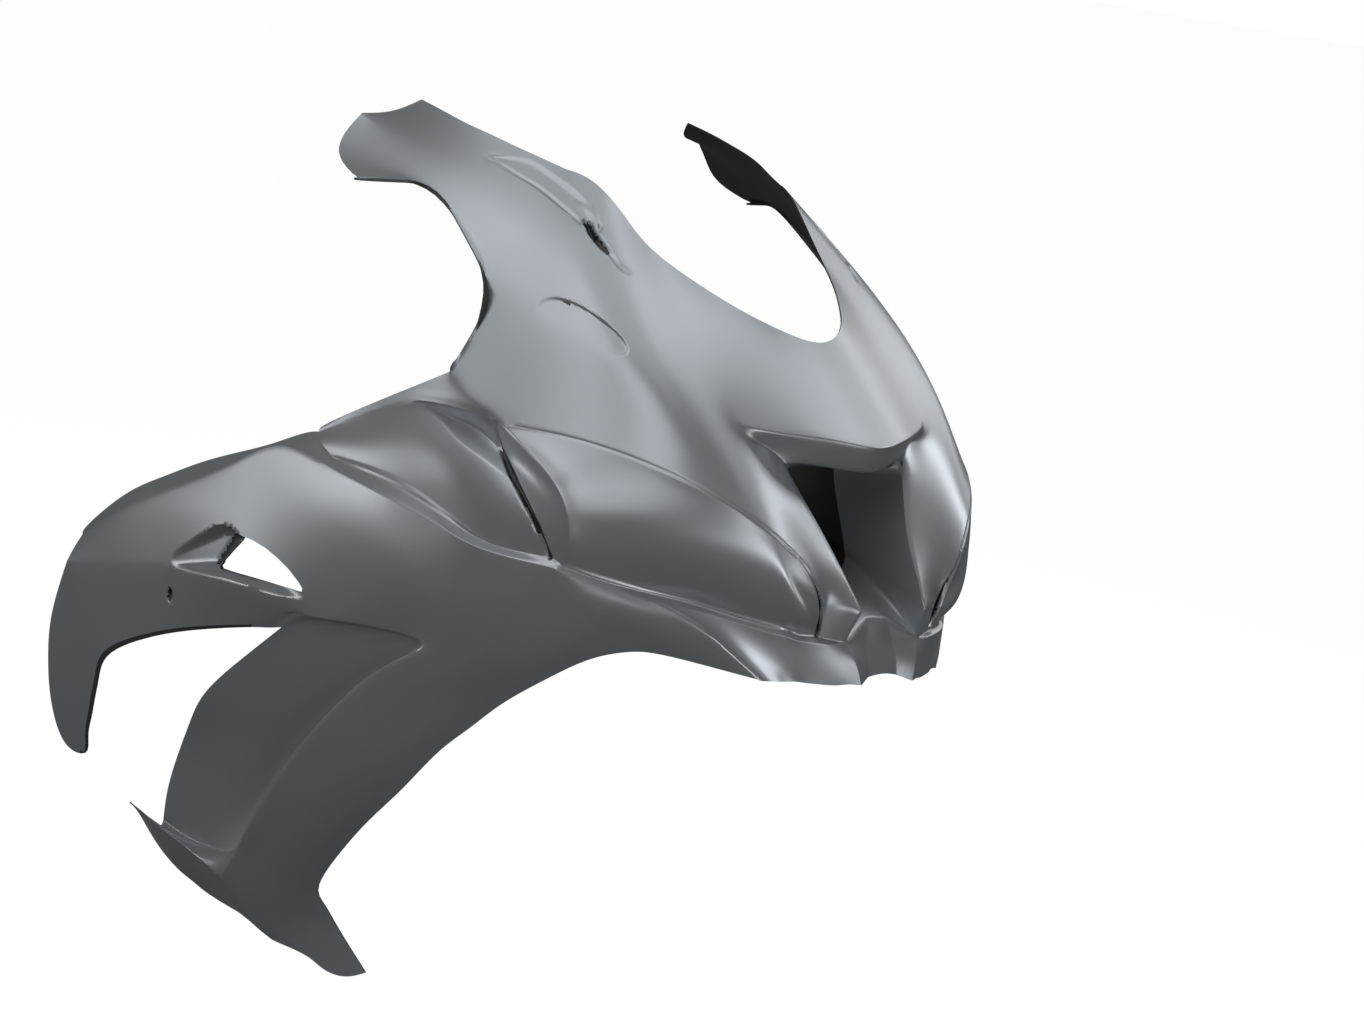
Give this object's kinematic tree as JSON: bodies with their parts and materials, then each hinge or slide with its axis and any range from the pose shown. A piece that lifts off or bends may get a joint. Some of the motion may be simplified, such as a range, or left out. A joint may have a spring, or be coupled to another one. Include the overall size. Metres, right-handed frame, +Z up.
{
  "type": "motorcycle fairing",
  "caption": "Upper race fairing for a sport motorcycle, moulded in grey glass fibre, with a central air intake and a vented side panel on the rider's right.",
  "frame": {"origin": "the middle of the fairing's bounding box, on the motorcycle's centre plane", "axes": "+X forward along the motorcycle, +Y to the rider's left, +Z up, with the fairing level as mounted"},
  "size_m": [0.9805, 0.5358, 0.8171],
  "materials": {
    "laminate": "satin"
  },
  "bodies": {
    "root": {"fairing": "laminate"}
  },
  "joints": []
}
